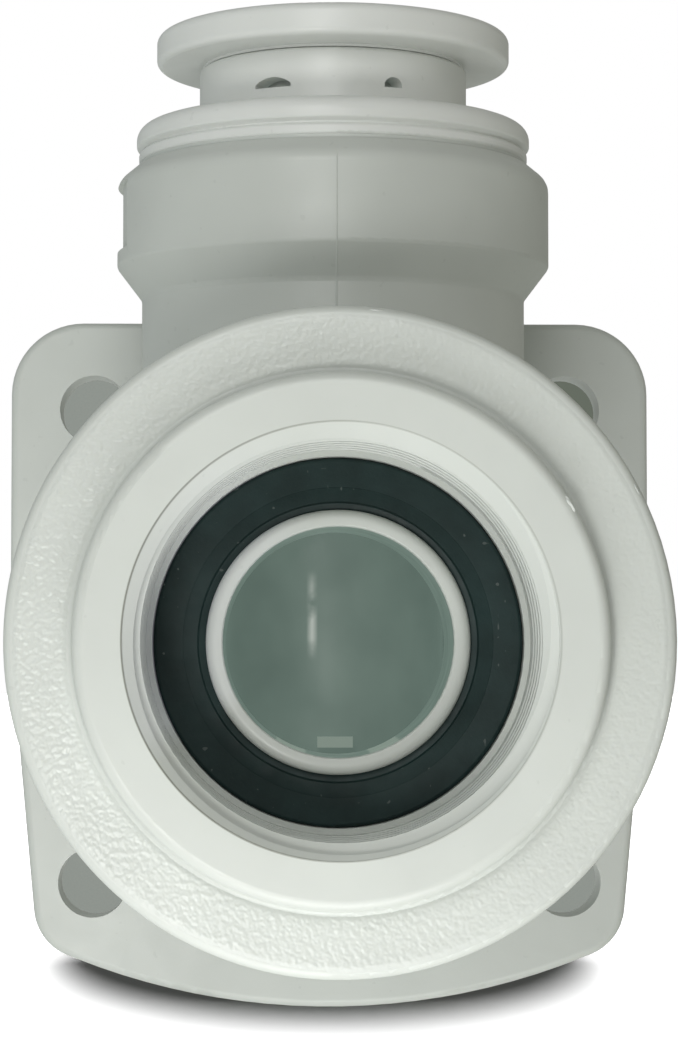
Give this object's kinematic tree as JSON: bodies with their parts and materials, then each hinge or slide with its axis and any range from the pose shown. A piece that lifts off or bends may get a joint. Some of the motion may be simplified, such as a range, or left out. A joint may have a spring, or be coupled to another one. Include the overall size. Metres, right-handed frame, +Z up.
{
  "type": "diaphragm valve",
  "caption": "Hand-operated plastic diaphragm valve: threaded inlet socket with gasket and nozzle, square rear flange, vented turret with a mushroom knob.",
  "frame": {"origin": "centre of the outlet port on the rear face of the square plate", "axes": "+X to the right seen from the inlet, +Y out of the rear face, +Z up along the turret"},
  "size_m": [0.0602, 0.06, 0.0881],
  "materials": {
    "white_plastic": "white moulded plastic, smooth with a rough rim",
    "black_rubber": "smooth black rubber",
    "seat_plastic": "natural acetal",
    "grey_plastic": "glass filled plastic",
    "brass": "turned brass",
    "steel": "turned stainless steel"
  },
  "bodies": {
    "housing": {"valve_body": "white_plastic", "inlet_gasket": "black_rubber", "outlet_o_ring": "black_rubber", "seat_ring": "seat_plastic", "diaphragm": "black_rubber", "diaphragm_clamp_ring": "seat_plastic", "bonnet": "white_plastic", "spindle_nut": "brass"},
    "stem": {"compressor": "grey_plastic", "guide_pins": "steel", "diaphragm_stud": "brass", "diaphragm_washer": "steel", "diaphragm_nut": "steel", "thrust_washer": "brass", "spindle_clip": "steel"},
    "handle": {"spindle": "steel", "knob": "white_plastic", "knob_o_ring": "black_rubber", "knob_washer": "steel", "knob_screw": "steel", "knob_cap": "white_plastic"}
  },
  "joints": [
    {"name": "stem_lift", "type": "slide", "parent": "housing", "child": "stem", "axis": [0, 0, 1], "range_m": [0, 0.0035], "deforming": ["diaphragm"]},
    {"name": "knob_turn", "type": "hinge", "parent": "stem", "child": "handle", "pos_m": [0, -0.0215, 0.05], "axis": [0, 0, 1], "range_deg": [0, 420]}
  ],
  "couplings": [
    {"joint": "knob_turn", "follows": "stem_lift", "rad_per_m": 2094.4}
  ]
}
